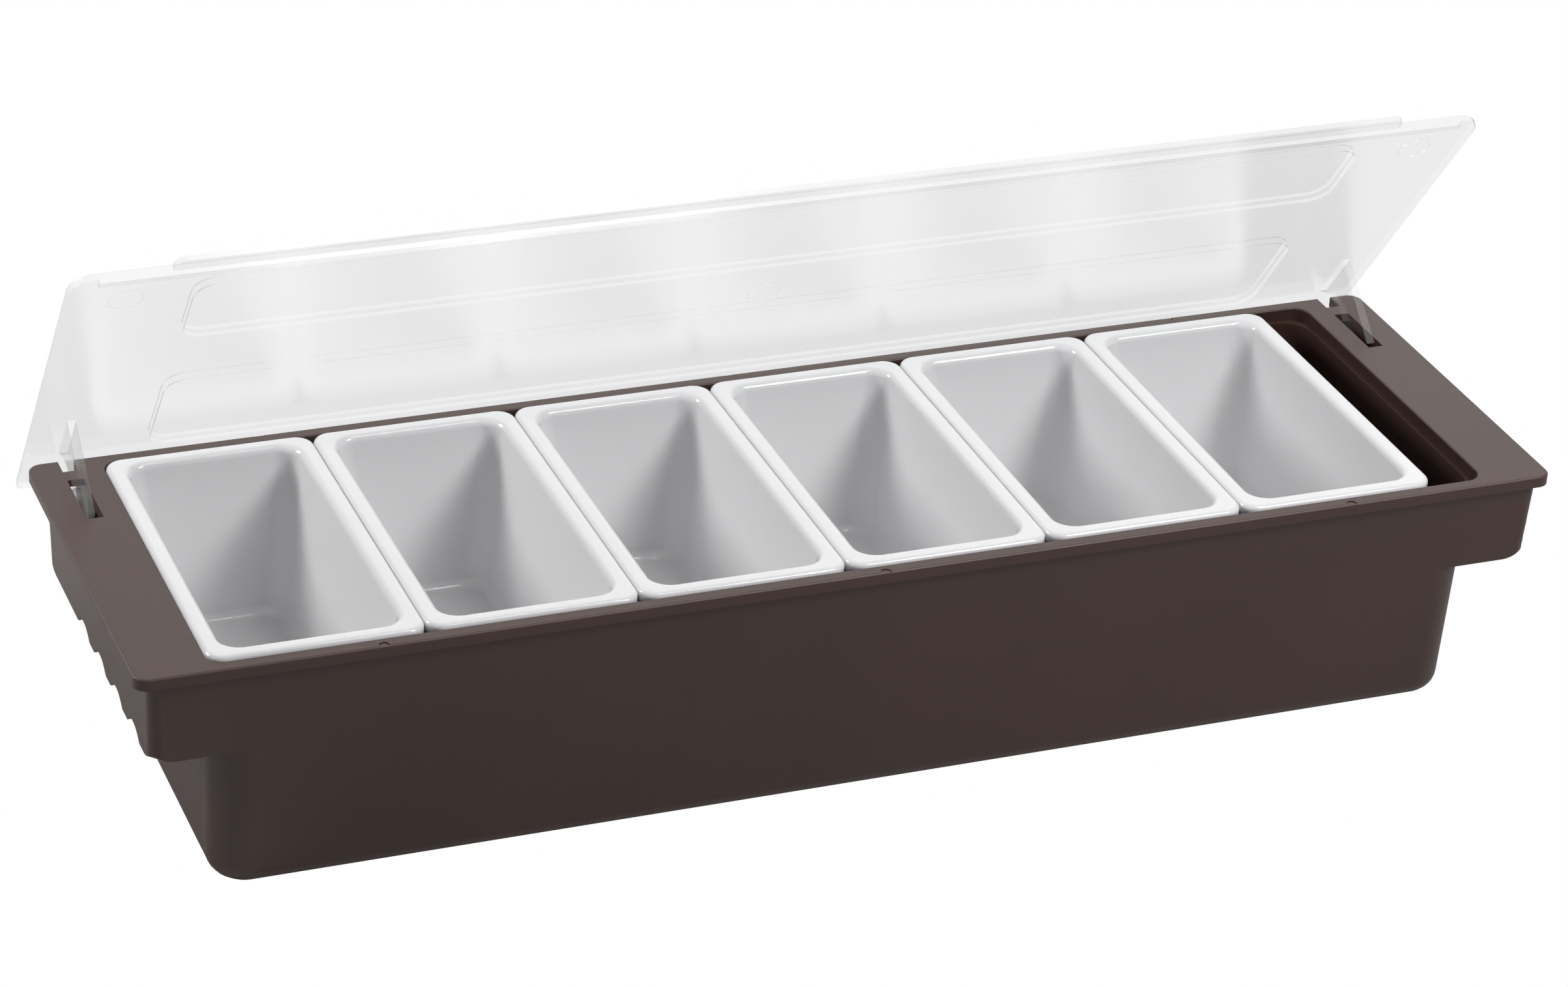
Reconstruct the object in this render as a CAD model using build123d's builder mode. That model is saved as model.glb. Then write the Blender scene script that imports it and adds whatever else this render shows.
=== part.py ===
from build123d import *
from math import asin, cos, degrees, hypot, radians, sin, sqrt
import os

# Bar garnish tray: a moulded tray with two hollow wings, six lift-out tubs in a row and a
# clear hinged lid, modelled with the lid open.
# Millimetres. X runs along the tray, Y towards the hinge side, Z up.
# The origin is the centre of the tray's underside.

# Deck, the flat top of the tray
deck_length = 500.0
deck_width = 149.0
deck_thickness = 4.0
deck_corner_radius = 5.0
deck_edge_radius = 0.8
tray_height = 87.0

# Tub under the deck. Insets are measured from the deck's edges.
tub_front_inset = 1.5
tub_base_inset_y = 7.2
tub_shoulder_inset = 26.2
tub_base_inset_x = 27.0
tub_corner_radius = 12.8
tub_base_radius = 7.4
tub_wall = 2.5
tub_floor = 2.8
tub_floor_radius = 4.9

# Opening in the deck, with the narrow ledge that carries the tub rims
opening_end_inset = 24.5
opening_side_inset = 5.0
opening_corner_radius = 6.0
opening_edge_radius = 0.6
ledge_depth = 4.9
ledge_width = 1.4

# Wings, the hollow hand holds at both ends, open underneath
wing_depth = 33.0
wing_top_inset = 4.4
wing_base_inset = 5.1
wing_wall = 2.5
wing_back_inset = 8.0
wing_corner_radius = 4.0
wing_toe_radius = 5.5
scallop_count = 4
scallop_pitch = 22.0
scallop_width = 15.0
scallop_depth = 3.8
scallop_front_inset = 25.0
scallop_tooth_radius = 1.5

# Small half-round marks that the mould leaves along the front and back strips
mark_radius = 1.8
mark_depth = 0.3
mark_inset = 0.9
mark_end_inset = 79.0
mark_offset = 1.5

# Hinge slots in the wings
slot_end_inset = 13.5
slot_width = 5.6
slot_end_clearance = 0.5
strap_length = 6.3
strap_thickness = 2.5
strap_front_gap = 5.9
cheek_thickness = 2.2
cheek_front_reach = 11.0
cheek_back_reach = 6.2
cheek_drop = 7.0
pin_radius = 2.5
pin_engagement = 1.8
pin_clearance = 0.05
pin_end_clearance = 0.3

# Hinge axis, measured from the deck's back edge and its top
hinge_inset = 8.6
hinge_depth = 13.5
lid_open_angle = 53.0
lid_back_clearance = 0.3

# Lid
lid_end_inset = 0.5
lid_front_inset = 6.6
lid_thickness = 2.5
lid_back_reach = 16.2
lid_front_radius = 9.0
lid_back_radius = 3.0
lid_edge_radius = 0.7
lid_lip_width = 3.0
lid_lip_depth = 1.5
tab_reach = 6.0
tab_end_inset = 33.0
tab_thickness = 1.8
tab_radius = 4.0

# Raised panels that stiffen the lid, and the rings its ejector pins leave. Shares are of the
# lid's depth.
panel_end_inset = 42.0
panel_rise = 0.8
panel_radius = 8.0
panel_slope = 45.0
front_panel_depth_share = 0.24
front_panel_setback = 13.0
rear_panel_depth_share = 0.32
rear_panel_back_inset = 22.0
eject_ring_radius = 6.0
eject_ring_width = 0.5
eject_ring_depth = 0.25
eject_ring_inset_x = 20.0
eject_ring_inset_y = 17.0
centre_ring_share = 0.453

# Hinge arms, moulded with the lid
arm_thickness = 3.0
arm_side_gap = 0.3
arm_front_reach = 30.0
arm_front_lean = 3.4
arm_drop = 33.0
arm_tip_width = 6.0
arm_boss_radius = 6.2
arm_notch_clearance = 3.8
arm_notch_tail_angle = 4.7
arm_neck_angle = 25.0
arm_heel_angle = 65.0
arm_embed = 1.0

# Tubs that stand in the opening, with a spare length left at its right end
tub_count = 6
spare_length = 19.0
insert_gap = 0.3
insert_end_gap = 0.3
insert_side_gap = 0.3
insert_base = 24.5
insert_rim_proud = 1.0
insert_rim_width = 6.5
insert_rim_corner = 6.5
insert_rim_top_radius = 1.7
insert_rim_inner_radius = 2.6
insert_skirt_thickness = 2.0
insert_flange_thickness = 3.4
insert_wall = 2.2
insert_floor = 2.4
insert_mouth_radius = 7.0
insert_floor_corner_radius = 10.0
insert_draft_x = 6.0
insert_draft_y = 5.2
insert_base_radius = 3.0
insert_floor_radius = 2.5

# Cuts run this far past the faces they open
overrun = 10.0

# Heights and places worked out from the sizes above
deck_top = tray_height
deck_under = tray_height - deck_thickness
wing_under = tray_height - wing_depth
ledge_top = tray_height - ledge_depth
front_draft = (tub_base_inset_y - tub_front_inset) / deck_under
opening_length = deck_length - 2 * opening_end_inset
opening_width = deck_width - 2 * opening_side_inset
tub_shoulder_length = deck_length - 2 * tub_shoulder_inset
tub_base_length = deck_length - 2 * tub_base_inset_x
wing_top_length = deck_length - 2 * wing_top_inset
wing_base_length = deck_length - 2 * wing_base_inset
scallop_last_y = -deck_width / 2 + scallop_front_inset
mark_spacing = deck_length / 2 - mark_end_inset
slot_offset = deck_length / 2 - slot_end_inset
hinge_y = deck_width / 2 - hinge_inset
hinge_z = deck_top - hinge_depth
deck_edge_reach = hypot(hinge_inset, hinge_depth)
lid_standoff = deck_edge_reach + lid_back_clearance
lid_length = deck_length - 2 * lid_end_inset
lid_depth = hinge_y + lid_back_reach + deck_width / 2 - lid_front_inset
lid_side_play = (slot_width - arm_thickness) / 2 - arm_side_gap
tab_length = lid_length - 2 * tab_end_inset
panel_length = lid_length - 2 * panel_end_inset
arm_reach = hypot(arm_front_reach, max(arm_drop - lid_standoff, lid_standoff))
strap_front_y = hinge_y - strap_front_gap
notch_radius = hypot(strap_front_gap, hinge_depth) + arm_notch_clearance
under_drop = hinge_depth - deck_thickness
arm_edge_reach = arm_front_reach + arm_front_lean * (arm_drop - lid_standoff + hinge_depth) / arm_drop
slot_front_y = hinge_y - max(sqrt(arm_reach**2 - under_drop**2), arm_edge_reach) - slot_end_clearance


def wall_half_width(height):
    """Half width over the sloping front and back walls at a height."""
    return deck_width / 2 - tub_base_inset_y + front_draft * height


with BuildPart() as base_tray:
    # Wing block over the whole length, one flush front plane with the tub
    wing_levels = ((deck_under, wing_top_length), (wing_under, wing_base_length))
    for level, length in wing_levels:
        front = -wall_half_width(level)
        back = wall_half_width(level) - wing_back_inset + tub_front_inset
        with BuildSketch(Plane.XY.offset(level)):
            with Locations((0, (front + back) / 2)):
                RectangleRounded(length, back - front, wing_corner_radius)
    loft(ruled=True)

    # Toes: the lower corner of the wings turns up at each of the four corners
    toe_setback = wing_corner_radius / 8
    toe_rise = wing_toe_radius * (1 - sqrt(2) / 2)
    toe_x = wing_base_length / 2 - toe_setback
    toe_front_y = wall_half_width(wing_under) - toe_setback
    toe_back_y = toe_front_y - wing_back_inset + tub_front_inset
    for side in (-1, 1):
        for end, toe_y in ((-1, toe_front_y), (1, toe_back_y)):
            toe_plane = Plane(origin=(side * toe_x, end * toe_y, wing_under),
                              x_dir=(side, end, 0), z_dir=(end, -side, 0))
            with BuildSketch(toe_plane):
                with BuildLine():
                    Polyline(
                        (-wing_toe_radius, 0),
                        (-wing_toe_radius, -overrun),
                        (overrun, -overrun),
                        (overrun, wing_toe_radius),
                        (0, wing_toe_radius),
                    )
                    ThreePointArc((0, wing_toe_radius), (-toe_rise, toe_rise), (-wing_toe_radius, 0))
                make_face()
            extrude(amount=4 * wing_toe_radius, both=True, mode=Mode.SUBTRACT)

    # Hollow of the wings, open underneath
    for level, length in wing_levels:
        front = -wall_half_width(level) + wing_wall
        back = wall_half_width(level) - wing_back_inset + tub_front_inset - wing_wall
        with BuildSketch(Plane.XY.offset(level)):
            with Locations((0, (front + back) / 2)):
                RectangleRounded(length - 2 * wing_wall, back - front, wing_corner_radius - wing_wall)
    loft(ruled=True, mode=Mode.SUBTRACT)

    # Tub body in two sloping stages
    tub_levels = (
        (deck_under, opening_length - 2 * ledge_width + 2 * tub_wall),
        (wing_under, tub_shoulder_length),
        (0, tub_base_length),
    )
    for level, length in tub_levels:
        with BuildSketch(Plane.XY.offset(level)):
            RectangleRounded(length, 2 * wall_half_width(level), tub_corner_radius)
    loft(ruled=True)
    fillet(faces().sort_by(Axis.Z)[0].edges(), tub_base_radius)

    # Deck
    with BuildSketch(Plane.XY.offset(deck_under)):
        RectangleRounded(deck_length, deck_width, deck_corner_radius)
    extrude(amount=deck_thickness)
    fillet(faces().sort_by(Axis.Z)[-1].edges(), deck_edge_radius)

    # Opening down to the ledge, then the cavity down to the floor
    with BuildSketch(Plane.XY.offset(ledge_top)):
        RectangleRounded(opening_length, opening_width, opening_corner_radius)
    extrude(amount=ledge_depth + overrun, mode=Mode.SUBTRACT)
    cavity_levels = (
        (ledge_top, opening_length - 2 * ledge_width, opening_width / 2 - ledge_width),
        (wing_under, tub_shoulder_length - 2 * tub_wall, wall_half_width(wing_under) - tub_wall),
        (tub_floor, tub_base_length - 2 * tub_wall, wall_half_width(tub_floor) - tub_wall),
    )
    for level, length, half_width in cavity_levels:
        with BuildSketch(Plane.XY.offset(level)):
            RectangleRounded(length, 2 * half_width, tub_corner_radius - tub_wall)
    loft(ruled=True, mode=Mode.SUBTRACT)
    cavity_floor = faces().filter_by(Axis.Z).filter_by(
        lambda face: abs(face.center().Z - tub_floor) < tub_floor)[-1]
    fillet(cavity_floor.edges(), tub_floor_radius)

    # Rounded lips of the opening and of the ledge
    fillet(edges().group_by(Axis.Z)[-1].filter_by(
        lambda edge: abs(edge.center().X) < opening_length / 2 + deck_edge_radius
        and abs(edge.center().Y) < opening_width / 2 + deck_edge_radius), opening_edge_radius)

    # Finger scallops along the lower edge of both end walls
    scallop_radius = (scallop_width**2 / 4 + scallop_depth**2) / (2 * scallop_depth)
    scallop_centres = [(scallop_last_y + number * scallop_pitch, wing_under + scallop_depth - scallop_radius)
                       for number in range(scallop_count)]
    scallop_middle_y = scallop_last_y + scallop_pitch * (scallop_count - 1) / 2
    with BuildSketch(Plane.YZ) as scallops:
        with Locations((scallop_middle_y, wing_under - scallop_radius)):
            Rectangle(scallop_pitch * scallop_count, 2 * scallop_radius)
        with Locations(*scallop_centres):
            Circle(scallop_radius)
        teeth = vertices().group_by(Axis.Y)[-1].sort_by(Axis.X)[1:-1]
        fillet(teeth, scallop_tooth_radius)
    scallop_start = tub_shoulder_length / 2 + tub_wall
    for side in (-1, 1):
        extrude(scallops.sketch.moved(Location((side * scallop_start, 0, 0))),
                amount=side * wing_top_length / 2, mode=Mode.SUBTRACT)

    # Hinge slots, open at the back, with a strap across each and cheeks that hold the pins
    cheek_span = slot_width + 2 * cheek_thickness
    cheek_height = under_drop + cheek_drop
    cheek_length = cheek_front_reach + cheek_back_reach
    bore_reach = slot_width / 2 + lid_side_play + pin_engagement + pin_end_clearance
    for side in (-1, 1):
        with Locations((side * slot_offset, hinge_y + cheek_back_reach, deck_under)):
            Box(cheek_span, cheek_length, cheek_height, align=(Align.CENTER, Align.MAX, Align.MAX))
        with Locations((side * slot_offset, slot_front_y, deck_top)):
            Box(slot_width, deck_width, deck_thickness + cheek_height + overrun,
                align=(Align.CENTER, Align.MIN, Align.MAX), mode=Mode.SUBTRACT)
        with Locations((side * slot_offset, strap_front_y, deck_top)):
            Box(slot_width, strap_length, strap_thickness, align=(Align.CENTER, Align.MIN, Align.MAX))
        with BuildSketch(Plane.YZ.offset(side * slot_offset)):
            with Locations((hinge_y, hinge_z)):
                Circle(pin_radius + pin_clearance)
        extrude(amount=bore_reach, both=True, mode=Mode.SUBTRACT)

    # Moulding marks on the front and back strips
    for end in (-1, 1):
        with Locations(*[(mark_offset + step * mark_spacing, end * (deck_width / 2 - mark_inset), deck_top)
                         for step in (-1, 0, 1)]):
            Cylinder(mark_radius, 2 * mark_depth, mode=Mode.SUBTRACT)

base_tray.part.label = "base_tray"

# The lid is drawn on its own plane at the hinge axis: x along the hinge, y from the free edge
# towards the hinge edge, z out of its upper face. Turning that plane opens the lid.
open_turn = radians(lid_open_angle)
lid_plane = Plane(origin=(-lid_side_play, hinge_y, hinge_z), x_dir=(1, 0, 0),
                  z_dir=(0, sin(open_turn), cos(open_turn)))
lid_inner = lid_plane.offset(lid_standoff)
lid_outer = lid_plane.offset(lid_standoff + lid_thickness)
lid_front_y = lid_back_reach - lid_depth
front_panel_depth = front_panel_depth_share * lid_depth
rear_panel_depth = rear_panel_depth_share * lid_depth
front_panel_y = lid_front_y + front_panel_setback + front_panel_depth / 2
rear_panel_y = lid_back_reach - rear_panel_back_inset - rear_panel_depth / 2
panels = ((front_panel_y, front_panel_depth), (rear_panel_y, rear_panel_depth))


def arm_outline():
    """Outline of one hinge arm: y across the lid, z down from its inner face."""
    heel = (-arm_boss_radius * cos(radians(arm_heel_angle)),
            lid_standoff + arm_boss_radius * sin(radians(arm_heel_angle)))
    neck = (-arm_boss_radius * cos(radians(arm_neck_angle)),
            lid_standoff - arm_boss_radius * sin(radians(arm_neck_angle)))
    tail = (-notch_radius * cos(radians(arm_notch_tail_angle)),
            lid_standoff + notch_radius * sin(radians(arm_notch_tail_angle)))
    root = (-sqrt(notch_radius**2 - (lid_standoff + arm_embed)**2), -arm_embed)
    root_angle = degrees(asin((lid_standoff + arm_embed) / notch_radius))
    middle_angle = radians((root_angle - arm_notch_tail_angle) / 2)
    middle = (-notch_radius * cos(middle_angle), lid_standoff - notch_radius * sin(middle_angle))
    Polyline(root, (-arm_front_reach - arm_front_lean, -arm_embed), (-arm_front_reach, arm_drop),
             (-arm_front_reach + arm_tip_width, arm_drop), heel)
    ThreePointArc(heel, (arm_boss_radius, lid_standoff), neck)
    Line(neck, tail)
    ThreePointArc(tail, middle, root)


with BuildPart() as lid:
    # Flat plate with a long finger tab on its free edge
    with BuildSketch(lid_inner):
        with Locations((0, lid_back_reach - lid_depth / 2)):
            plate = Rectangle(lid_length, lid_depth)
        fillet(plate.vertices().group_by(Axis.Y)[0], lid_front_radius)
        fillet(vertices().group_by(Axis.Y)[-1], lid_back_radius)
    extrude(amount=lid_thickness)
    fillet(faces().sort_by(Axis(lid_plane.origin, lid_plane.z_dir))[-1].edges(), lid_edge_radius)
    with BuildSketch(lid_outer.offset(-lid_edge_radius)):
        with Locations((0, lid_front_y - tab_reach / 2 + tab_radius)):
            RectangleRounded(tab_length, tab_reach + 2 * tab_radius, tab_radius)
    extrude(amount=-tab_thickness)

    # Lip under the free edge
    with BuildSketch(lid_inner):
        with Locations((0, lid_front_y + lid_lip_width / 2)):
            Rectangle(lid_length - 2 * lid_front_radius, lid_lip_width)
    extrude(amount=-lid_lip_depth)

    # Raised panels: the skin steps outwards by their rise
    for centre_y, depth in panels:
        with BuildSketch(lid_outer):
            with Locations((0, centre_y)):
                RectangleRounded(panel_length, depth, panel_radius)
        extrude(amount=panel_rise, taper=panel_slope)
        with BuildSketch(lid_inner):
            with Locations((0, centre_y)):
                RectangleRounded(panel_length, depth, panel_radius)
        extrude(amount=panel_rise, taper=panel_slope, mode=Mode.SUBTRACT)

    # Rings left by the ejector pins
    ring_x = lid_length / 2 - eject_ring_inset_x
    ring_y = lid_front_y + eject_ring_inset_y
    centre_ring_y = lid_front_y + centre_ring_share * lid_depth
    with BuildSketch(lid_inner):
        with Locations((-ring_x, ring_y), (ring_x, ring_y), (0, centre_ring_y)):
            Circle(eject_ring_radius)
            Circle(eject_ring_radius - eject_ring_width, mode=Mode.SUBTRACT)
    extrude(amount=eject_ring_depth, mode=Mode.SUBTRACT)

    # Hinge arms with their pins
    for side in (-1, 1):
        arm_plane = Plane(origin=lid_inner.from_local_coords((side * slot_offset, 0, 0)),
                          x_dir=lid_plane.y_dir, z_dir=(-1, 0, 0))
        with BuildSketch(arm_plane):
            with BuildLine():
                arm_outline()
            make_face()
        extrude(amount=arm_thickness / 2, both=True)
        with BuildSketch(arm_plane):
            with Locations((0, lid_standoff)):
                Circle(pin_radius)
        extrude(amount=slot_width / 2 + pin_engagement, both=True)

lid.part.label = "lid"

# Tubs, pushed together at the left end of the opening
insert_pitch = (opening_length - spare_length) / tub_count
insert_length = insert_pitch - insert_gap
insert_width = opening_width - 2 * insert_side_gap
insert_top = deck_top + insert_rim_proud
first_insert_x = -opening_length / 2 + insert_end_gap + insert_length / 2


def make_insert(number):
    """One tub: tapered body, flat floor and a rim with a turned-down skirt."""
    centre_x = first_insert_x + number * insert_pitch
    top_length = insert_length - 2 * insert_rim_width
    top_width = insert_width - 2 * insert_rim_width
    shell_length = top_length + 2 * insert_wall
    shell_width = top_width + 2 * insert_wall
    with BuildPart() as insert:
        with BuildSketch(Plane.XY.offset(insert_top)):
            with Locations((centre_x, 0)):
                RectangleRounded(shell_length, shell_width, insert_mouth_radius + insert_wall)
        with BuildSketch(Plane.XY.offset(insert_base)):
            with Locations((centre_x, 0)):
                RectangleRounded(shell_length - 2 * insert_draft_x, shell_width - 2 * insert_draft_y,
                                 insert_floor_corner_radius + insert_wall)
        loft(ruled=True)
        fillet(faces().sort_by(Axis.Z)[0].edges(), insert_base_radius)

        # Rim flange and the skirt that stands on the ledge
        with BuildSketch(Plane.XY.offset(insert_top)):
            with Locations((centre_x, 0)):
                RectangleRounded(insert_length, insert_width, insert_rim_corner)
        extrude(amount=-insert_flange_thickness)
        with BuildSketch(Plane.XY.offset(insert_top)):
            with Locations((centre_x, 0)):
                RectangleRounded(insert_length, insert_width, insert_rim_corner)
                RectangleRounded(insert_length - 2 * insert_skirt_thickness,
                                 insert_width - 2 * insert_skirt_thickness,
                                 insert_rim_corner - insert_skirt_thickness, mode=Mode.SUBTRACT)
        extrude(amount=-(insert_rim_proud + ledge_depth))
        fillet(faces().sort_by(Axis.Z)[-1].outer_wire().edges(), insert_rim_top_radius)

        # Hollow, with a rounded mouth and a rounded floor edge
        floor_top = insert_base + insert_floor
        floor_share = insert_floor / (insert_top - insert_base)
        with BuildSketch(Plane.XY.offset(insert_top)):
            with Locations((centre_x, 0)):
                RectangleRounded(top_length, top_width, insert_mouth_radius)
        with BuildSketch(Plane.XY.offset(floor_top)):
            with Locations((centre_x, 0)):
                RectangleRounded(top_length - 2 * insert_draft_x * (1 - floor_share),
                                 top_width - 2 * insert_draft_y * (1 - floor_share),
                                 insert_floor_corner_radius)
        loft(ruled=True, mode=Mode.SUBTRACT)
        fillet(faces().sort_by(Axis.Z)[-1].inner_wires()[0].edges(), insert_rim_inner_radius)
        floor = faces().filter_by(Axis.Z).filter_by(
            lambda face: abs(face.center().Z - floor_top) < insert_floor_radius)[0]
        fillet(floor.edges(), insert_floor_radius)
    return insert


os.makedirs("parts", exist_ok=True)
export_step(base_tray.part, "parts/base_tray.step")
export_step(lid.part, "parts/lid.step")
for number in range(tub_count):
    insert = make_insert(number)
    insert.part.label = f"insert_{number + 1}"
    export_step(insert.part, f"parts/insert_{number + 1}.step")
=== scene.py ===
"""Bar garnish tray: finishes, tubs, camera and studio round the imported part.

The part's frame is used throughout, in metres: X along the tray, Y towards the hinge side,
Z up, and the origin at the centre of the tray's underside.
"""

import logging
import math
from dataclasses import dataclass, field
from enum import Enum
from typing import Any

import bmesh
import bpy
from mathutils import Matrix, Vector

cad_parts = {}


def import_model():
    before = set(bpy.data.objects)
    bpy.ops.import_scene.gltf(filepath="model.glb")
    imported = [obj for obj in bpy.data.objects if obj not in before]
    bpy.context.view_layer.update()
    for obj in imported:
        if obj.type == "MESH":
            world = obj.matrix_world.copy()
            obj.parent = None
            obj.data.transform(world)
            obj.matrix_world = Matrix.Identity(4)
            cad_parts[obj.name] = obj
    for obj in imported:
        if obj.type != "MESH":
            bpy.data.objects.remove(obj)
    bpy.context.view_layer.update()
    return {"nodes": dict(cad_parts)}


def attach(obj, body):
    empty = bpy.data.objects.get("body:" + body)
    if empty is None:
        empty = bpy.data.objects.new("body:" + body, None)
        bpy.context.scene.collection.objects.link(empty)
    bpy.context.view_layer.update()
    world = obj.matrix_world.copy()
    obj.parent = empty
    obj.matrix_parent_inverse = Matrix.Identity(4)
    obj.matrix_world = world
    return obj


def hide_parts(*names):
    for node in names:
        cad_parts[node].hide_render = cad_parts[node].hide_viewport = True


log = logging.getLogger("garnish_tray")

MM = 0.001
PHOTO_WIDTH = 2408
WHITE = "#FFFFFF"

# Blender's noise seldom leaves this range
NOISE_LOW = 0.3
NOISE_HIGH = 0.7


class Slot(Enum):
    """The names of the material slots."""

    TRAY = "tray_plastic"
    WHITE = "white_plastic"
    CLEAR = "clear_plastic"


class Node(Enum):
    """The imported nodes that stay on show."""

    TRAY = "base_tray"
    LID = "lid"


# Helpers for colours, node trees and pieces


def linear(colour: str) -> tuple[float, float, float, float]:
    """Turns an sRGB hex colour to the linear values that Blender's sockets take.

    Args:
        colour: Six hex digits with a leading hash sign.

    Returns:
        Red, green, blue and an alpha of one.
    """
    values = [int(colour[i : i + 2], 16) / 255 for i in (1, 3, 5)]
    red, green, blue = (v / 12.92 if v <= 0.04045 else ((v + 0.055) / 1.055) ** 2.4 for v in values)
    return red, green, blue, 1.0


def add_node(
    tree: bpy.types.NodeTree,
    kind: str,
    inputs: dict[str | int, Any] | None = None,
    **settings: Any,
) -> bpy.types.Node:
    """Adds one node with its settings, and links or sets its inputs.

    Args:
        tree: The node tree that gets the node.
        kind: The node's Blender type.
        inputs: Socket name or index to a value, or to the output socket that feeds it.
        settings: The node's own properties.

    Returns:
        The new node.
    """
    node = tree.nodes.new(kind)
    for name, value in settings.items():
        setattr(node, name, value)
    for key, value in (inputs or {}).items():
        if isinstance(value, bpy.types.NodeSocket):
            tree.links.new(value, node.inputs[key])
        else:
            node.inputs[key].default_value = value
    return node


def new_material(name: str) -> tuple[bpy.types.Material, bpy.types.NodeTree]:
    """Makes an empty node material.

    Args:
        name: The material's name.

    Returns:
        The material and its cleared node tree.
    """
    material = bpy.data.materials.new(name)
    material.use_nodes = True
    material.node_tree.nodes.clear()
    return material, material.node_tree


def dress(piece: bpy.types.Object, material: bpy.types.Material) -> None:
    """Gives a piece one material in every slot.

    Args:
        piece: The mesh object.
        material: Its finish.
    """
    if not piece.data.materials:
        piece.data.materials.append(material)
    for number in range(len(piece.data.materials)):
        piece.data.materials[number] = material
    log.info("%s: finished in %s", piece.name, material.name)


# Finishes


@dataclass(frozen=True)
class SparkErodedAbs:
    """Dark brown ABS, injection moulded in a spark-eroded tool.

    The eroded steel leaves a fine even grain, so the plastic looks matte face on and picks up
    a pale sheen where it is seen at a low angle, as on the deck. The real grain is about a
    tenth of a millimetre, too fine to show, and is drawn coarser here.
    """

    colour: str = "#392621"
    worn_colour: str = "#43302A"
    roughness: float = 0.45
    smoother: float = 0.04
    rougher: float = 0.05
    ior: float = 1.45
    grain_mm: float = 0.55
    grain_height_mm: float = 0.03
    grain_strength: float = 0.6
    cloud_mm: float = 60.0
    cloud_low: float = 0.35
    cloud_high: float = 0.65
    cloud_share: float = 0.35

    def build(self) -> bpy.types.Material:
        """Builds the material.

        Returns:
            The finished material.
        """
        material, tree = new_material("spark_eroded_abs")
        place = add_node(tree, "ShaderNodeTexCoord").outputs["Object"]
        clouds = add_node(tree, "ShaderNodeTexNoise",
                          {"Vector": place, "Scale": 1 / (self.cloud_mm * MM), "Detail": 4.0,
                           "Roughness": 0.6})
        grain = add_node(tree, "ShaderNodeTexNoise",
                         {"Vector": place, "Scale": 1 / (self.grain_mm * MM), "Detail": 3.0,
                          "Roughness": 0.55})
        shade = add_node(tree, "ShaderNodeMapRange",
                         {"Value": clouds.outputs["Fac"], "From Min": self.cloud_low,
                          "From Max": self.cloud_high, "To Min": 0.0, "To Max": self.cloud_share})
        colour = add_node(tree, "ShaderNodeMix",
                          {"Factor": shade.outputs["Result"], "A": linear(self.colour),
                           "B": linear(self.worn_colour)}, data_type="RGBA")
        rough = add_node(tree, "ShaderNodeMapRange",
                         {"Value": grain.outputs["Fac"], "From Min": NOISE_LOW, "From Max": NOISE_HIGH,
                          "To Min": self.roughness - self.smoother, "To Max": self.roughness + self.rougher})
        bump = add_node(tree, "ShaderNodeBump",
                        {"Height": grain.outputs["Fac"], "Distance": self.grain_height_mm * MM,
                         "Strength": self.grain_strength})
        plastic = add_node(tree, "ShaderNodeBsdfPrincipled",
                           {"Base Color": colour.outputs["Result"], "Roughness": rough.outputs["Result"],
                            "IOR": self.ior, "Normal": bump.outputs["Normal"]})
        add_node(tree, "ShaderNodeOutputMaterial", {"Surface": plastic.outputs["BSDF"]})
        return material


@dataclass(frozen=True)
class GlossWhiteAbs:
    """White ABS, injection moulded in a polished tool: smooth, glossy and slightly milky."""

    colour: str = "#E0E0E1"
    roughness: float = 0.11
    smoother: float = 0.02
    rougher: float = 0.03
    ior: float = 1.53
    ripple_mm: float = 18.0
    ripple_height_mm: float = 0.05
    ripple_strength: float = 0.5
    milk_depth_mm: float = 2.5
    milk_share: float = 0.6

    def build(self) -> bpy.types.Material:
        """Builds the material.

        Returns:
            The finished material.
        """
        material, tree = new_material("gloss_white_abs")
        place = add_node(tree, "ShaderNodeTexCoord").outputs["Object"]
        ripple = add_node(tree, "ShaderNodeTexNoise",
                          {"Vector": place, "Scale": 1 / (self.ripple_mm * MM), "Detail": 2.0})
        rough = add_node(tree, "ShaderNodeMapRange",
                         {"Value": ripple.outputs["Fac"], "From Min": NOISE_LOW, "From Max": NOISE_HIGH,
                          "To Min": self.roughness - self.smoother, "To Max": self.roughness + self.rougher})
        bump = add_node(tree, "ShaderNodeBump",
                        {"Height": ripple.outputs["Fac"], "Distance": self.ripple_height_mm * MM,
                         "Strength": self.ripple_strength})
        depth = self.milk_depth_mm * MM
        plastic = add_node(tree, "ShaderNodeBsdfPrincipled",
                           {"Base Color": linear(self.colour), "Roughness": rough.outputs["Result"],
                            "IOR": self.ior, "Normal": bump.outputs["Normal"],
                            "Subsurface Weight": self.milk_share,
                            "Subsurface Radius": (depth, depth, depth), "Subsurface Scale": 1.0})
        add_node(tree, "ShaderNodeOutputMaterial", {"Surface": plastic.outputs["BSDF"]})
        return material


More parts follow.
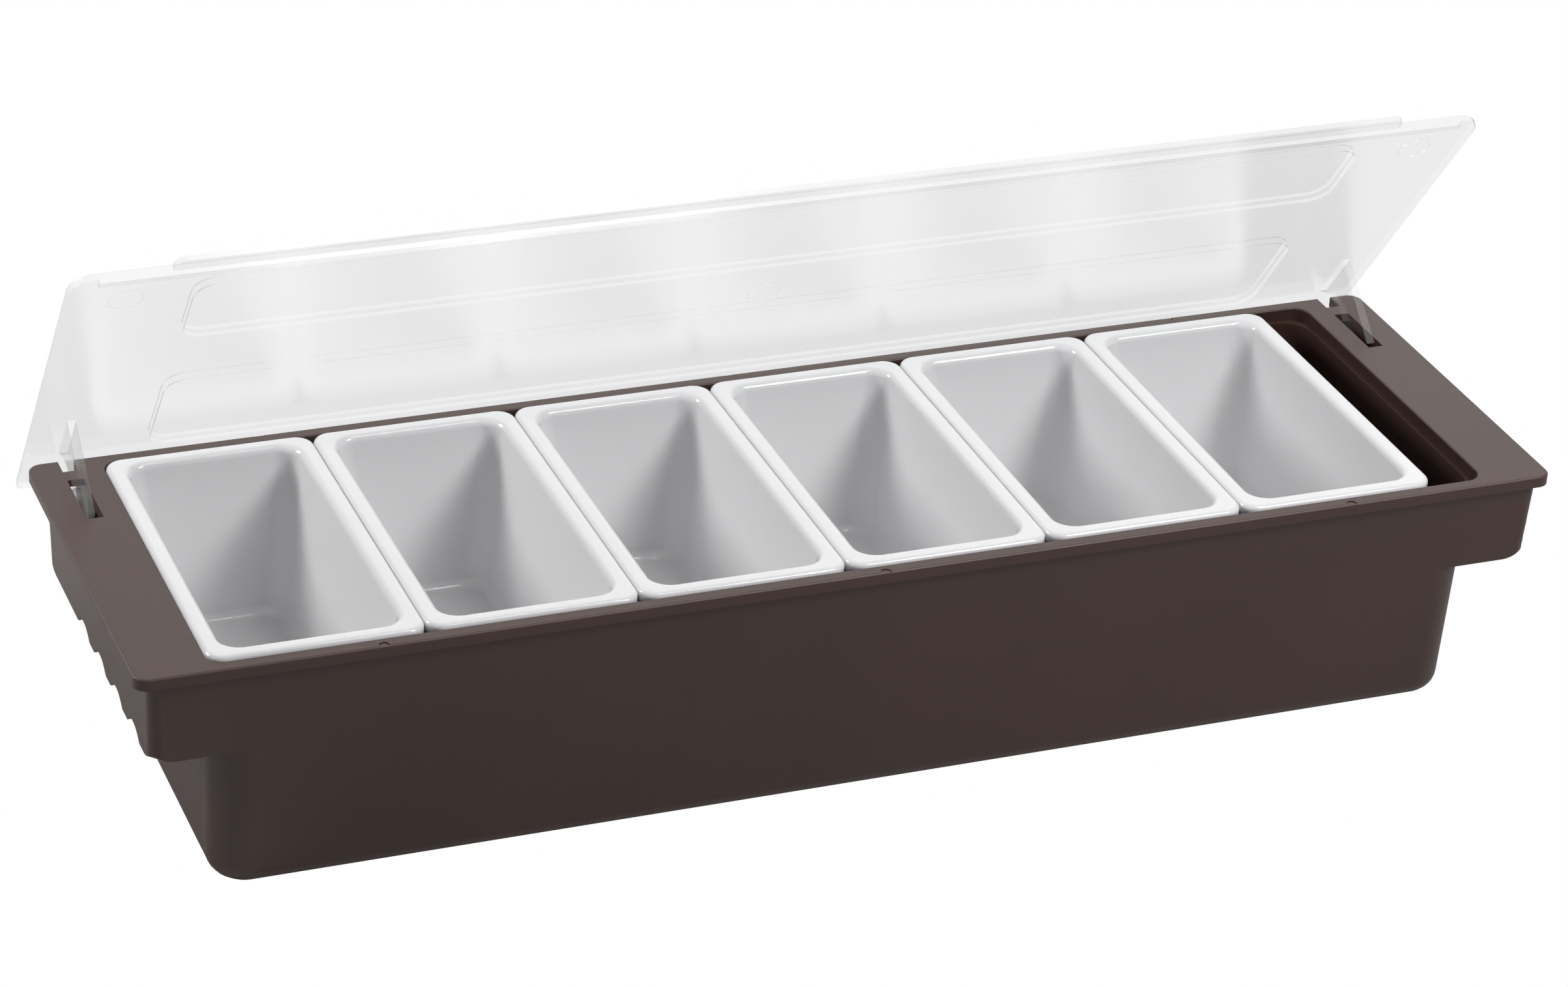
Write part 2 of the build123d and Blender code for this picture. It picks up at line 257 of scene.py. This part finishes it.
@dataclass(frozen=True)
class ClearSan:
    """Clear SAN, injection moulded in a polished tool: glassy, with faint long flow waves.

    Seen face on it is nearly invisible. Its edges, and faces seen at a low angle, look greyer
    and catch the light.
    """

    tint: str = "#FDFDFD"
    edge_tint: str = "#C4C8C8"
    roughness: float = 0.2
    face_on_gloss: float = 0.04
    edge_gloss: float = 0.9
    edge_falloff: float = 5.0
    wave_mm: float = 70.0
    wave_height_mm: float = 0.06
    wave_strength: float = 0.4

    def build(self) -> bpy.types.Material:
        """Builds the material. Rays from the lamps pass straight through it.

        Returns:
            The finished material.
        """
        material, tree = new_material("clear_san")
        place = add_node(tree, "ShaderNodeTexCoord").outputs["Object"]
        waves = add_node(tree, "ShaderNodeTexNoise",
                         {"Vector": place, "Scale": 1 / (self.wave_mm * MM), "Detail": 1.0})
        bump = add_node(tree, "ShaderNodeBump",
                        {"Height": waves.outputs["Fac"], "Distance": self.wave_height_mm * MM,
                         "Strength": self.wave_strength})
        turned = add_node(tree, "ShaderNodeLayerWeight", {"Blend": 0.5})
        steep = add_node(tree, "ShaderNodeMath",
                         {0: turned.outputs["Facing"], 1: self.edge_falloff}, operation="POWER")
        colour = add_node(tree, "ShaderNodeMix",
                          {"Factor": steep.outputs[0], "A": linear(self.tint), "B": linear(self.edge_tint)},
                          data_type="RGBA")
        passed = add_node(tree, "ShaderNodeBsdfTransparent", {"Color": colour.outputs["Result"]})
        skin = add_node(tree, "ShaderNodeBsdfGlossy",
                        {"Color": linear(WHITE), "Roughness": self.roughness,
                         "Normal": bump.outputs["Normal"]})
        gloss = add_node(tree, "ShaderNodeMath",
                         {0: steep.outputs[0], 1: self.edge_gloss, 2: self.face_on_gloss},
                         operation="MULTIPLY_ADD")
        lit = add_node(tree, "ShaderNodeMixShader",
                       {"Fac": gloss.outputs[0], 1: passed.outputs["BSDF"], 2: skin.outputs["BSDF"]})
        path = add_node(tree, "ShaderNodeLightPath")
        mixed = add_node(tree, "ShaderNodeMixShader",
                         {"Fac": path.outputs["Is Shadow Ray"], 1: lit.outputs["Shader"],
                          2: passed.outputs["BSDF"]})
        add_node(tree, "ShaderNodeOutputMaterial", {"Surface": mixed.outputs["Shader"]})
        return material


# Tubs


@dataclass
class TubRow:
    """The lift-out tubs: one lofted shell, repeated along the opening by Geometry Nodes."""

    count: int = 6
    pitch: float = 72.0 * MM
    first_x: float = -189.35 * MM
    length: float = 71.94 * MM
    width: float = 138.4 * MM
    rim_top: float = 88.0 * MM
    skirt_foot: float = 82.1 * MM
    flange_under: float = 84.6 * MM
    base: float = 24.5 * MM
    floor: float = 26.9 * MM
    rim_width: float = 6.5 * MM
    rim_corner: float = 6.5 * MM
    rim_round: float = 1.7 * MM
    mouth_round: float = 2.6 * MM
    mouth_corner: float = 7.0 * MM
    floor_corner: float = 10.0 * MM
    floor_round: float = 4.5 * MM
    base_round: float = 3.0 * MM
    skirt_wall: float = 2.0 * MM
    wall: float = 2.2 * MM
    draft_x: float = 6.0 * MM
    draft_y: float = 5.2 * MM
    arc_steps: int = 7
    corner_steps: int = 12

    def ring(self, inset_x: float, inset_y: float, height: float, corner: float) -> list[Vector]:
        """Makes one rounded rectangle round the tub's axis.

        Args:
            inset_x: How far the ring lies inside the rim's outer edge along X.
            inset_y: The same along Y.
            height: The ring's height above the tray's underside.
            corner: The radius of its corners.

        Returns:
            The ring's points, the same number for every ring.
        """
        half_x = self.length / 2 - inset_x
        half_y = self.width / 2 - inset_y
        points = []
        for quarter, (side_x, side_y) in enumerate(((1, 1), (-1, 1), (-1, -1), (1, -1))):
            for step in range(self.corner_steps + 1):
                turn = math.radians(90 * (quarter + step / self.corner_steps))
                points.append(Vector((side_x * (half_x - corner) + corner * math.cos(turn),
                                      side_y * (half_y - corner) + corner * math.sin(turn), height)))
        return points

    def wall_inset(self, height: float, draft: float, start: float) -> float:
        """Gives how far a drafted wall lies in from the rim's edge at a height.

        Args:
            height: The height above the tray's underside.
            draft: How far the wall leans in over the tub's whole height.
            start: The wall's inset at the rim's top.

        Returns:
            The inset.
        """
        return start + draft * (self.rim_top - height) / (self.rim_top - self.base)

    def wall_corner(self, height: float) -> float:
        """Gives the corner radius of the inner wall at a height.

        Args:
            height: The height above the tray's underside.

        Returns:
            The radius.
        """
        share = (self.rim_top - height) / (self.rim_top - self.floor)
        return self.mouth_corner + (self.floor_corner - self.mouth_corner) * share

    def bend(self, start: float, level: float, radius: float, side: int) -> list[list[Vector]]:
        """Makes the rings of a rounded edge between a level face and the drafted wall.

        Args:
            start: The wall's inset at the rim's top.
            level: The height of the level face.
            radius: The edge's radius.
            side: 1 for the mouth, which turns down from a level face, and -1 for a floor's edge.

        Returns:
            The rings, from the level face to the wall for the mouth and the other way for a floor.
        """
        rings = []
        for step in range(self.arc_steps + 1):
            share = step / self.arc_steps if side > 0 else 1 - step / self.arc_steps
            insets = []
            for draft in (self.draft_x, self.draft_y):
                lean = math.atan2(draft, self.rim_top - self.base)
                reach = radius * (1 - math.sin(lean)) / math.cos(lean)
                turn = share * (math.pi / 2 - lean)
                insets.append(self.wall_inset(level, draft, start) - side * reach
                              + side * radius * math.sin(turn))
            height = level - side * radius + side * radius * math.cos(turn)
            shrink = insets[0] - self.wall_inset(height, self.draft_x, start)
            corner = self.wall_corner(height) - (start - self.rim_width) - shrink
            rings.append(self.ring(insets[0], insets[1], height, corner))
        return rings

    def cap(self, start: float, level: float, radius: float) -> list[Vector]:
        """Makes the ring that closes a level face inside its rounded edge.

        Args:
            start: The wall's inset at the rim's top.
            level: The height of the level face.
            radius: The radius of its edge.

        Returns:
            The ring's points.
        """
        return self.ring(self.wall_inset(level, self.draft_x, start) + 2 * radius,
                         self.wall_inset(level, self.draft_y, start) + 2 * radius,
                         level, self.floor_corner / 2)

    def outline(self) -> list[list[Vector]]:
        """Makes the rings of the whole shell.

        Returns:
            The rings, from the underside up round the rim and down to the floor.
        """
        outer = self.rim_width - self.wall
        rings = [self.cap(outer, self.base, self.base_round)]
        rings += self.bend(outer, self.base, self.base_round, -1)[::-1]
        rings.append(self.ring(self.wall_inset(self.flange_under, self.draft_x, outer),
                               self.wall_inset(self.flange_under, self.draft_y, outer),
                               self.flange_under, self.mouth_corner + self.wall))
        skirt_corner = self.rim_corner - self.skirt_wall
        for height in (self.flange_under, self.skirt_foot):
            rings.append(self.ring(self.skirt_wall, self.skirt_wall, height, skirt_corner))
        rings.append(self.ring(0, 0, self.skirt_foot, self.rim_corner))
        for step in range(self.arc_steps + 1):
            turn = math.radians(90 * step / self.arc_steps)
            inset = self.rim_round * (1 - math.cos(turn))
            height = self.rim_top - self.rim_round * (1 - math.sin(turn))
            rings.append(self.ring(inset, inset, height, self.rim_corner - inset))
        rings += self.bend(self.rim_width, self.rim_top, self.mouth_round, 1)
        rings += self.bend(self.rim_width, self.floor, self.floor_round, -1)
        rings.append(self.cap(self.rim_width, self.floor, self.floor_round))
        return rings

    def shell(self) -> bpy.types.Mesh:
        """Lofts the rings to one closed shell.

        Returns:
            The tub's mesh, centred on its own axis.
        """
        mesh = bmesh.new()
        loops = [[mesh.verts.new(point) for point in ring] for ring in self.outline()]
        for lower, upper in zip(loops, loops[1:]):
            for number in range(len(lower)):
                after = (number + 1) % len(lower)
                mesh.faces.new((lower[number], lower[after], upper[after], upper[number]))
        mesh.faces.new(loops[0][::-1])
        mesh.faces.new(loops[-1])
        bmesh.ops.recalc_face_normals(mesh, faces=mesh.faces)
        for face in mesh.faces:
            face.smooth = True
        made = bpy.data.meshes.new("tub_shell")
        mesh.to_mesh(made)
        mesh.free()
        return made

    def tree(self, material: bpy.types.Material) -> bpy.types.GeometryNodeTree:
        """Builds the tree that sets the tub at its place in the row.

        Args:
            material: The tubs' finish.

        Returns:
            The tree, with named inputs for the row's sizes.
        """
        tree = bpy.data.node_groups.new("tub_row", "GeometryNodeTree")
        sockets = (("Tub", "NodeSocketGeometry"), ("Pitch", "NodeSocketFloat"),
                   ("First Place", "NodeSocketFloat"), ("Count", "NodeSocketInt"),
                   ("Number", "NodeSocketInt"))
        for name, kind in sockets:
            tree.interface.new_socket(name, in_out="INPUT", socket_type=kind)
        tree.interface.new_socket("Geometry", in_out="OUTPUT", socket_type="NodeSocketGeometry")
        given = add_node(tree, "NodeGroupInput").outputs
        first = add_node(tree, "ShaderNodeCombineXYZ", {"X": given["First Place"]})
        step = add_node(tree, "ShaderNodeCombineXYZ", {"X": given["Pitch"]})
        line = add_node(tree, "GeometryNodeMeshLine",
                        {"Count": given["Count"], "Start Location": first.outputs[0],
                         "Offset": step.outputs[0]},
                        mode="OFFSET")
        index = add_node(tree, "GeometryNodeInputIndex")
        chosen = add_node(tree, "FunctionNodeCompare", {"A": index.outputs[0], "B": given["Number"]},
                          data_type="INT", operation="EQUAL")
        placed = add_node(tree, "GeometryNodeInstanceOnPoints",
                          {"Points": line.outputs["Mesh"], "Instance": given["Tub"],
                           "Selection": chosen.outputs["Result"]})
        real = add_node(tree, "GeometryNodeRealizeInstances", {"Geometry": placed.outputs["Instances"]})
        dressed = add_node(tree, "GeometryNodeSetMaterial",
                           {"Geometry": real.outputs[0], "Material": material})
        add_node(tree, "NodeGroupOutput", {"Geometry": dressed.outputs[0]})
        return tree

    def build(self, material: bpy.types.Material) -> None:
        """Builds one tub for each place in the row, and puts it on its body.

        Args:
            material: The tubs' finish.
        """
        shell = self.shell()
        tree = self.tree(material)
        names = {item.name: item.identifier for item in tree.interface.items_tree if item.in_out == "INPUT"}
        collection = bpy.context.scene.collection
        for number in range(self.count):
            source = bpy.data.objects.new("tub_source", shell)
            collection.objects.link(source)
            modifier = source.modifiers.new("row", "NODES")
            modifier.node_group = tree
            modifier[names["Pitch"]] = self.pitch
            modifier[names["First Place"]] = self.first_x
            modifier[names["Count"]] = self.count
            modifier[names["Number"]] = number
            graph = bpy.context.evaluated_depsgraph_get()
            mesh = bpy.data.meshes.new_from_object(source.evaluated_get(graph))
            bpy.data.objects.remove(source)
            tub = bpy.data.objects.new(f"tub_{number + 1}", mesh)
            collection.objects.link(tub)
            node = f"insert_{number + 1}"
            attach(tub, node)
            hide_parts(node)
            log.info("%s: %d faces, finished in %s", tub.name, len(mesh.polygons), material.name)


# Studio


@dataclass(frozen=True)
class SoftBox:
    """One rectangular soft lamp. Lengths are in metres and the power is in watts."""

    name: str
    place: tuple[float, float, float]
    width: float
    height: float
    power: float

    def hang(self, target: Vector) -> None:
        """Hangs the lamp at its place, out of the camera's sight.

        Args:
            target: What it points at.
        """
        data = bpy.data.lights.new(self.name, "AREA")
        data.shape = "RECTANGLE"
        data.size = self.width
        data.size_y = self.height
        data.energy = self.power
        lamp = bpy.data.objects.new(self.name, data)
        lamp.visible_camera = False
        lamp.location = self.place
        lamp.rotation_euler = (target - Vector(self.place)).to_track_quat("-Z", "Y").to_euler()
        bpy.context.scene.collection.objects.link(lamp)


@dataclass
class Studio:
    """Floor, soft lamps, world and the camera at the photograph's place."""

    camera_place: Vector = field(default_factory=lambda: Vector((-0.54622, -1.30310, 0.83352)))
    camera_right: Vector = field(default_factory=lambda: Vector((0.932252, -0.358534, 0.048576)))
    camera_down: Vector = field(default_factory=lambda: Vector((-0.129547, -0.456130, -0.880433)))
    focal_px: float = 7216.4
    sensor_mm: float = 36.0
    nearest: float = 0.05
    farthest: float = 50.0
    floor_half: float = 6.0
    floor_colour: str = "#DDDDDC"
    fill_colour: str = "#F6F8FA"
    fill_strength: float = 0.11
    seen_strength: float = 1.0
    target: Vector = field(default_factory=lambda: Vector((0, 0, 0.06)))
    lamps: tuple[SoftBox, ...] = (
        SoftBox("right_soft_box", (0.45, -0.5, 0.88), 0.35, 0.35, 7.8),
        SoftBox("left_soft_box", (-0.8, 0.45, 0.6), 0.3, 0.3, 6.0),
        SoftBox("top_soft_box", (0.26, -0.3, 1.5), 0.3, 0.16, 1.8),
        SoftBox("back_panel", (0.51, 1.22, 0.76), 1.2, 0.8, 2.7),
    )

    def build(self) -> None:
        """Builds the whole studio."""
        self.build_camera()
        self.build_floor()
        self.build_world()
        for lamp in self.lamps:
            lamp.hang(self.target)
        bpy.context.scene.view_settings.view_transform = "Standard"

    def build_camera(self) -> None:
        """Puts the camera where the photograph was taken from."""
        data = bpy.data.cameras.new("photo_camera")
        data.sensor_width = self.sensor_mm
        data.lens = self.focal_px / PHOTO_WIDTH * self.sensor_mm
        data.clip_start = self.nearest
        data.clip_end = self.farthest
        camera = bpy.data.objects.new("photo_camera", data)
        right = self.camera_right.normalized()
        up = -self.camera_down.normalized()
        back = right.cross(up)
        turn = Matrix((right, up, back)).transposed().to_4x4()
        camera.matrix_world = Matrix.Translation(self.camera_place) @ turn
        bpy.context.scene.collection.objects.link(camera)
        bpy.context.scene.camera = camera

    def build_floor(self) -> None:
        """Lays a pale floor that the camera sees as white."""
        half = self.floor_half
        corner_places = [(-half, -half, 0), (half, -half, 0), (half, half, 0), (-half, half, 0)]
        mesh = bpy.data.meshes.new("floor")
        mesh.from_pydata(corner_places, [], [(0, 1, 2, 3)])
        floor = bpy.data.objects.new("floor", mesh)
        bpy.context.scene.collection.objects.link(floor)
        material, tree = new_material("white_paper_floor")
        paper = add_node(tree, "ShaderNodeBsdfDiffuse", {"Color": linear(self.floor_colour)})
        glow = add_node(tree, "ShaderNodeEmission", {"Color": linear(WHITE), "Strength": self.seen_strength})
        path = add_node(tree, "ShaderNodeLightPath")
        seen = add_node(tree, "ShaderNodeMath",
                        {0: path.outputs["Is Camera Ray"], 1: path.outputs["Is Transmission Ray"]},
                        operation="MAXIMUM")
        mixed = add_node(tree, "ShaderNodeMixShader",
                         {"Fac": seen.outputs[0], 1: paper.outputs["BSDF"], 2: glow.outputs["Emission"]})
        add_node(tree, "ShaderNodeOutputMaterial", {"Surface": mixed.outputs["Shader"]})
        mesh.materials.append(material)

    def build_world(self) -> None:
        """Fills the room with soft light, white where the camera and the gloss see it."""
        world = bpy.data.worlds.new("studio")
        bpy.context.scene.world = world
        world.use_nodes = True
        tree = world.node_tree
        tree.nodes.clear()
        fill = add_node(tree, "ShaderNodeBackground",
                        {"Color": linear(self.fill_colour), "Strength": self.fill_strength})
        white = add_node(tree, "ShaderNodeBackground",
                         {"Color": linear(WHITE), "Strength": self.seen_strength})
        path = add_node(tree, "ShaderNodeLightPath")
        direct = add_node(tree, "ShaderNodeMath",
                          {0: path.outputs["Is Camera Ray"], 1: path.outputs["Is Transmission Ray"]},
                          operation="MAXIMUM")
        seen = add_node(tree, "ShaderNodeMath",
                        {0: direct.outputs[0], 1: path.outputs["Is Glossy Ray"]}, operation="MAXIMUM")
        mixed = add_node(tree, "ShaderNodeMixShader",
                         {"Fac": seen.outputs[0], 1: fill.outputs["Background"],
                          2: white.outputs["Background"]})
        add_node(tree, "ShaderNodeOutputWorld", {"Surface": mixed.outputs["Shader"]})


def main() -> None:
    """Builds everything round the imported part."""
    logging.basicConfig(level=logging.INFO, format="%(name)s: %(message)s")
    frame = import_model()
    nodes = frame["nodes"]
    finishes = {Slot.TRAY: SparkErodedAbs().build(), Slot.WHITE: GlossWhiteAbs().build(),
                Slot.CLEAR: ClearSan().build()}
    dress(nodes[Node.TRAY.value], finishes[Slot.TRAY])
    dress(nodes[Node.LID.value], finishes[Slot.CLEAR])
    TubRow().build(finishes[Slot.WHITE])
    Studio().build()


if __name__ == "__main__":
    main()
